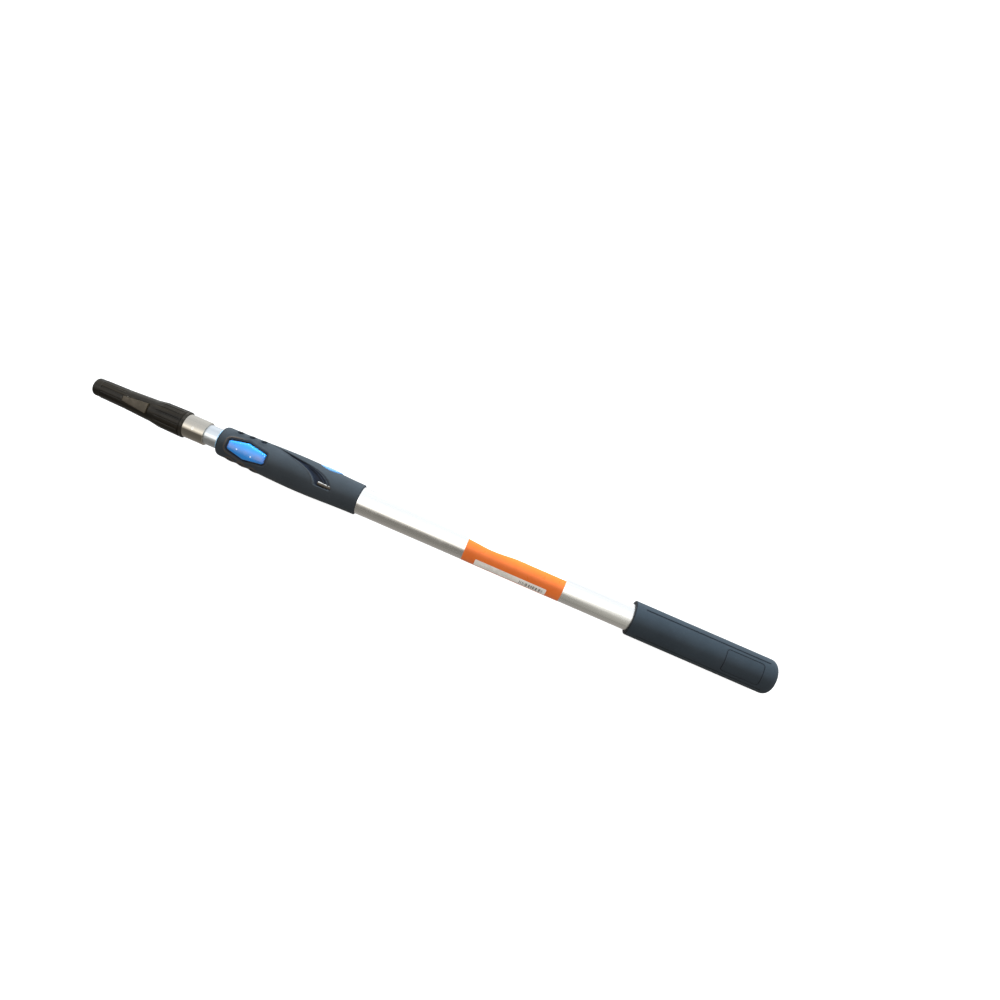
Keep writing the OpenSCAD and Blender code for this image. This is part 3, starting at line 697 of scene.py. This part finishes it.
def capped(name, outline, rings, top, under, wall, low, body, nodes, material):
    """A cap over an outline of (station, side): a crowned top, an outer wall, and a hollow underside."""
    middle = np.mean(outline, axis=0)
    line = np.array(outline)
    rows = [np.repeat(middle[None], len(line), 0)]
    heights = [top(rows[0][:, 0], rows[0][:, 1], outline)]
    for share in rings:
        row = middle + (line - middle) * share
        rows.append(row)
        heights.append(top(row[:, 0], row[:, 1], outline))
    # Down the wall, then back in and up under the top
    inward = middle - line
    inward = inward / np.linalg.norm(inward, axis=1)[:, None]
    rows.append(line)
    heights.append(low(line[:, 0], line[:, 1]))
    rows.append(line + inward * wall)
    heights.append(low(rows[-1][:, 0], rows[-1][:, 1]))
    for share in (1.0, 0.6):
        row = middle + (line + inward * wall - middle) * share
        rows.append(row)
        heights.append(top(row[:, 0], row[:, 1], outline) - under)
    rows.append(rows[0])
    heights.append(heights[0] - under)
    points = [((START + x) * MM, y * MM, (AXIS + z) * MM)
              for row, height in zip(rows, heights) for (x, y), z in zip(row, height)]
    return fanned(name, points, len(line), body, nodes, material)


def resample(outline, count):
    """The same closed outline with evenly spaced points."""
    line = np.array(list(outline) + [outline[0]])
    length = np.concatenate([[0], np.cumsum(np.linalg.norm(np.diff(line, axis=0), axis=1))])
    at = np.linspace(0, length[-1], count, endpoint=False)
    return [(float(np.interp(t, length, line[:, 0])), float(np.interp(t, length, line[:, 1]))) for t in at]


def button_top(s, y, outline):
    radius = 16.7 + 1.2 * (s - BUTTON_FROM + 1) / (BUTTON_TO - BUTTON_FROM + 2)
    height = np.sqrt(radius ** 2 - y ** 2)
    away, _ = to_line(s, y, outline, closed=True)
    bend = 2.4
    drop = bend - np.sqrt(np.maximum(bend ** 2 - np.maximum(bend - away, 0) ** 2, 0))
    height = height - 0.75 * drop
    for bump_s, bump_y in BUTTON_BUMPS:
        height = height + 0.30 * np.exp(-(np.hypot(s - bump_s, y - bump_y) / 0.85) ** 2)
    return height


def lock_button():
    outline = resample(rounded(BUTTON_CORNERS, BUTTON_ROUND, 0, 10), 260)
    rings = [0.02, 0.05] + list(np.linspace(0.09, 0.85, 36))
    rings += [0.88, 0.91, 0.935, 0.955, 0.97, 0.98, 0.988, 0.994, 1.0]
    hollow, wall = 13.2, 1.2
    return capped("lock_button_cap", outline, rings, button_top, wall, wall,
                  lambda s, y: np.sqrt(hollow ** 2 - y ** 2), "lock", ["lock_button"],
                  button_blue)


cap = lock_button()


def front_bush():
    lo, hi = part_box("inner_tube")
    bore = (hi.y - lo.y) / 2 / MM + 0.12
    begin, end = span("front_bush")
    ring_r, nose_r, seat_r = 12.4, 11.0, 12.2
    profile = corner(begin + 0.4, nose_r - 0.2, 0.4, 0.2, -90, 0, 5)
    profile += [(begin + 0.4 + (COVER_FROM - begin - 0.4) * t,
                 nose_r + (ring_r - nose_r) * float(swell(t) + t) / 2)
                for t in np.linspace(0.1, 1, 9)]
    profile += [(LIP_END, ring_r), (LIP_END, seat_r), (end, seat_r), (end, bore), (begin + 0.3, bore)]
    return turned("blue_mouth_bush", profile, np.radians(runs((0, 360, 3))), "handle",
                  ["front_bush"], bush_painted_highlight_blue)


front_bush()


def side_inlay():
    """A lens with a crowned, round-edged face on the side of the grip."""
    begin, end = span("side_inlay")
    middle = (begin + end) / 2
    half_l, half_w = (end - begin) / 2, 7.0
    bow = (half_l ** 2 + half_w ** 2) / (2 * half_w)
    swing = math.asin(half_l / bow)
    upper = [(middle + bow * math.sin(t), bow * math.cos(t) - bow + half_w)
             for t in np.linspace(swing, -swing, 61)]
    lower = [(s, -v) for s, v in upper[::-1]][1:-1]
    outline = resample(upper + lower, 200)
    line = np.array(outline)
    centre = np.array([middle, 0.0])
    top_r, crown = 17.8, 120.0
    rows = []
    for share in [0.0] + list(np.linspace(0.08, 0.86, 18)) + [0.90, 0.93, 0.955, 0.975, 0.988, 1.0]:
        row = centre + (line - centre) * share
        away, _ = to_line(row[:, 0], row[:, 1], outline, closed=True)
        bend = 0.7
        drop = bend - np.sqrt(np.maximum(bend ** 2 - np.maximum(bend - away, 0) ** 2, 0))
        face_r = top_r - (crown - np.sqrt(crown ** 2 - (row[:, 0] - middle) ** 2)) - drop
        rows.append((row, np.sqrt(face_r ** 2 - row[:, 1] ** 2)))
    floor_r = REAR_CORE_R + 0.02
    for share in (1.0, 0.0):
        row = centre + (line - centre) * share
        rows.append((row, np.sqrt(floor_r ** 2 - row[:, 1] ** 2)))
    points = [((START + x) * MM, y * MM, (AXIS + v) * MM)
              for row, out in rows for (x, v), y in zip(row, out)]
    return fanned("blue_side_inlay", points, len(outline), "handle", ["side_inlay"],
                  inlay_blue)


side_inlay()


def softened(name, source, width, segments, body, material):
    """A CAD piece copied with its sharp edges rounded."""
    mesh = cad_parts[source].data.copy()
    mesh.name = name
    work = bmesh.new()
    work.from_mesh(mesh)
    bmesh.ops.remove_doubles(work, verts=work.verts, dist=1e-6)
    bmesh.ops.dissolve_limit(work, angle_limit=math.radians(0.5), verts=work.verts, edges=work.edges)
    sharp = [e for e in work.edges if len(e.link_faces) == 2 and e.calc_face_angle(0) > math.radians(32)]
    bmesh.ops.bevel(work, geom=sharp, offset=width * MM, segments=segments, profile=0.5, affect="EDGES",
                    clamp_overlap=True)
    work.to_mesh(mesh)
    work.free()
    points = [tuple(v.co) for v in mesh.vertices]
    faces = [list(p.vertices) for p in mesh.polygons]
    bpy.data.meshes.remove(mesh)
    return piece(name, points, faces, body, [source], material)


softened("snap_catch_wedge", "cone_catch", 0.35, 3, "catch", catch_brown)
softened("steel_strap_bar", "strap_bar", 0.3, 3, "handle", bar_steel)


# ---- End grip ----

def end_relief(s, angle, radius):
    shaped = radius.copy()
    for turn in (-GROOVE_ANGLE, GROOVE_ANGLE):
        side = np.abs(angle - turn) * END_R
        past = np.maximum(np.maximum(GROOVE_FROM + 0.7 - s, s - GROOVE_TO + 0.7), 0)
        away = np.hypot(side, past)
        shaped = shaped - 0.62 * step(0.95, 0.35, away)
    arc = np.where(angle > math.pi, angle - 2 * math.pi, angle) * END_R
    line, _ = to_line(s, arc, PANEL, closed=True)
    shaped = shaped - 0.40 * step(0.70, 0.15, line)
    shaped = shaped - np.where(inside(s, arc, PANEL), 0.06, 0)
    skin = (radius > END_R - 0.02) & (s > END_FROM + 2)
    return rest_flat(angle, np.where(skin, shaped, radius))


def end_grip():
    profile = [(END_FROM, TUBE_R + 0.04)]
    profile += corner(END_FROM + END_EDGE, END_R - END_EDGE, END_EDGE, END_EDGE, -90, 0, 7)
    profile += [(s, END_R) for s in runs(
        (END_FROM + 2, GROOVE_FROM - 2, 2), (GROOVE_FROM - 2, GROOVE_FROM + 3, 0.3),
        (GROOVE_FROM + 3, 673, 2), (673, 680, 0.3), (680, 710, 1), (710, 723.6, 0.3))]
    profile += corner(END_TO - END_CORNER, END_R - END_CORNER, END_CORNER, END_CORNER, 0, 90, 22)
    profile += [(END_TO, 5.0), (END_TO, 0), (END_TO - END_THICK, 0), (END_TO - END_THICK, TUBE_R + 0.04)]
    angles = runs((-90, -57, 3), (-57, -47, 0.5), (-47, -41, 2), (-41, -26, 0.6), (-26, 26, 2),
                  (26, 41, 0.6), (41, 47, 2), (47, 57, 0.5), (57, 66, 3), (66, 164, 4),
                  (164, 196, 2), (196, 270, 4))
    return turned("rubber_end_grip", profile, np.radians(angles), "handle", ["end_grip"],
                  end_rubber, end_relief)


end_grip()


# ---- Label and sticker ----

LABEL_R = 14.15
STICKER_FROM, STICKER_TO = span("barcode_sticker")
STICKER_T = 0.12
STICKER_LOW, STICKER_HIGH = math.radians(-68), math.radians(-30)


def label_relief(s, angle, radius):
    """The film's end laps over its start under the pole."""
    turn = np.mod(angle, 2 * math.pi)
    lap = step(math.radians(176), math.radians(176.8), turn)
    lap = lap * step(math.radians(184), math.radians(183.6), turn)
    return np.where(radius > TUBE_R + 0.1, radius + 0.07 * lap, radius)


def label_wrap():
    profile = [(LABEL_FROM, TUBE_R + 0.005), (LABEL_FROM, LABEL_R - 0.05), (LABEL_FROM + 0.05, LABEL_R)]
    profile += [(s, LABEL_R) for s in runs((LABEL_FROM + 2, LABEL_TO - 1, 4))]
    profile += [(LABEL_TO - 0.05, LABEL_R), (LABEL_TO, LABEL_R - 0.05), (LABEL_TO, TUBE_R + 0.005)]
    angles = np.radians(runs((0, 172, 2), (172, 188, 0.4), (188, 360, 2)))
    return turned("printed_label", profile, angles, "handle", ["label_wrap"],
                  LOOKS["label_film"], label_relief)


label_wrap()


def sticker():
    """A thin patch with round corners and a slightly lowered edge."""
    arc = LABEL_R
    low, high = STICKER_LOW * arc, STICKER_HIGH * arc
    corners = [(STICKER_FROM, low), (STICKER_TO, low), (STICKER_TO, high), (STICKER_FROM, high)]
    outline = resample(rounded(corners, 1.2, 0), 240)
    line = np.array(outline)
    centre = np.array([(STICKER_FROM + STICKER_TO) / 2, (low + high) / 2])
    rows = []
    for share in (0.0, 0.25, 0.5, 0.75, 0.97, 1.0):
        row = centre + (line - centre) * share
        top = LABEL_R + STICKER_T - (0.03 if share == 1.0 else 0)
        rows.append((row, top))
    for share in (1.0, 0.5, 0.0):
        rows.append((centre + (line - centre) * share, LABEL_R + 0.004))
    points = np.concatenate([place(row[:, 0], row[:, 1] / arc, radius) for row, radius in rows])
    return fanned("barred_sticker", points, len(outline), "handle", ["barcode_sticker"],
                  LOOKS["sticker_paper"])


sticker()


# ---- Stage, light and camera ----


def floor():
    mesh = bpy.data.meshes.new("floor")
    size, low = 6.0, -0.0003
    corners = [(-size, -size, low), (size, -size, low), (size, size, low), (-size, size, low)]
    mesh.from_pydata(corners, [], [(0, 1, 2, 3)])
    n = Nodes("pale_floor")
    colour = n.ramp(n.noise(3, 3), (0.3, (0.60, 0.60, 0.60, 1)), (0.7, (0.62, 0.62, 0.62, 1)))
    roughness = n.range(n.noise(40, 3), 0.3, 0.7, 0.85, 0.95)
    mesh.materials.append(n.finish(colour, roughness, n.bump((n.noise(300, 3), 0.05, 0.1)),
                                   Emission_Color=(1, 1, 1, 1), Emission_Strength=0.75))
    obj = bpy.data.objects.new("floor", mesh)
    bpy.context.collection.objects.link(obj)
    obj.visible_glossy = False
    obj.visible_diffuse = False


def studio():
    """A soft surround: bright on the +Y side, brightest just past the top, grey on the -Y side."""
    world = bpy.data.worlds.new("studio")
    bpy.context.scene.world = world
    world.use_nodes = True
    tree = world.node_tree
    background = tree.nodes["Background"]
    direction = tree.nodes.new("ShaderNodeTexCoord")
    parts = tree.nodes.new("ShaderNodeSeparateXYZ")
    tree.links.new(direction.outputs["Generated"], parts.inputs[0])
    turn = tree.nodes.new("ShaderNodeMath")
    turn.operation = "ARCTAN2"
    tree.links.new(parts.outputs["Y"], turn.inputs[0])
    tree.links.new(parts.outputs["Z"], turn.inputs[1])
    share = tree.nodes.new("ShaderNodeMapRange")
    share.inputs["From Min"].default_value = -math.pi
    share.inputs["From Max"].default_value = math.pi
    tree.links.new(turn.outputs[0], share.inputs["Value"])
    ramp = tree.nodes.new("ShaderNodeValToRGB")
    tree.links.new(share.outputs["Result"], ramp.inputs["Fac"])
    rear = tree.nodes.new("ShaderNodeValToRGB")
    tree.links.new(share.outputs["Result"], rear.inputs["Fac"])
    stops = [(-180, (0.20, 0.19, 0.18)), (-130, (0.15, 0.14, 0.13)), (-90, (0.10, 0.095, 0.085)),
             (-38, (0.085, 0.08, 0.072)), (-22, (0.60, 0.57, 0.52)), (-8, (1.0, 0.98, 0.93)),
             (8, (0.80, 0.80, 0.79)), (24, (0.52, 0.53, 0.54)), (75, (0.47, 0.49, 0.51)),
             (120, (0.56, 0.58, 0.60)), (180, (0.40, 0.40, 0.40))]
    rear_stops = [stops[0], stops[1], (-90, (0.13, 0.127, 0.115)), (-60, (0.20, 0.195, 0.175)),
                  (-42, (0.245, 0.24, 0.22)), (-8, (0.28, 0.285, 0.275)), (6, (0.62, 0.63, 0.62))]
    rear_stops += stops[6:]
    for node, list_of_stops in ((ramp, stops), (rear, rear_stops)):
        elements = node.color_ramp.elements
        while len(elements) < len(list_of_stops):
            elements.new(0.5)
        for element, (degrees, colour) in zip(elements, list_of_stops):
            element.position = (degrees + 180) / 360
            element.color = (*colour, 1)
    along = tree.nodes.new("ShaderNodeMapRange")
    along.inputs["From Min"].default_value = 0.10
    along.inputs["From Max"].default_value = 0.20
    tree.links.new(parts.outputs["X"], along.inputs["Value"])
    blend = tree.nodes.new("ShaderNodeMix")
    blend.data_type = "RGBA"
    tree.links.new(along.outputs["Result"], blend.inputs["Factor"])
    tree.links.new(ramp.outputs["Color"], blend.inputs[6])
    tree.links.new(rear.outputs["Color"], blend.inputs[7])
    strength = 2.3
    seen = tree.nodes.new("ShaderNodeLightPath")
    shown = blend.outputs[2]
    for kind, value in (("Is Diffuse Ray", 0.20), ("Is Camera Ray", 0.40)):
        pick = tree.nodes.new("ShaderNodeMix")
        pick.data_type = "RGBA"
        tree.links.new(seen.outputs[kind], pick.inputs["Factor"])
        tree.links.new(shown, pick.inputs[6])
        pick.inputs[7].default_value = (value, value, value, 1)
        shown = pick.outputs[2]
    tree.links.new(shown, background.inputs["Color"])
    background.inputs["Strength"].default_value = strength


def lamp(name, where, aim, size, power, colour, hidden_from, only=None):
    light = bpy.data.lights.new(name, "AREA")
    light.shape = "RECTANGLE"
    light.size, light.size_y = size
    light.energy = power
    light.color = colour
    obj = bpy.data.objects.new(name, light)
    obj.location = where
    obj.rotation_euler = (Vector(aim) - Vector(where)).to_track_quat("-Z", "Y").to_euler()
    setattr(obj, hidden_from, False)
    if only:
        lit = bpy.data.collections.new(name)
        lit.objects.link(only)
        obj.light_linking.receiver_collection = lit
    bpy.context.collection.objects.link(obj)


def camera():
    data = bpy.data.cameras.new("camera")
    data.lens, data.sensor_width = 26.06, 36
    obj = bpy.data.objects.new("camera", data)
    obj.location = (0.047, 0.0555, AXIS * MM + 0.72)
    obj.rotation_euler = (0, 0, math.radians(23.47))
    bpy.context.collection.objects.link(obj)
    bpy.context.scene.camera = obj


floor()
studio()
lamp("key", (0.05, 2.0, 0.25), (0.05, 0.0, 0.0), (2.6, 0.5), 150.0, (0.86, 0.97, 1.04), "visible_glossy")
lamp("top", (0.05, 0.3, 1.6), (0.05, 0.0, 0.0), (2.4, 0.8), 11.0, (1.0, 0.98, 0.95), "visible_glossy")
lamp("spark", (0.8, 0.8, 0.8), (-0.2, 0.0, 0.0), (0.5, 0.5), 30.0, (1.0, 1.0, 1.0), "visible_diffuse", cap)
camera()
bpy.context.scene.view_settings.view_transform = "Standard"
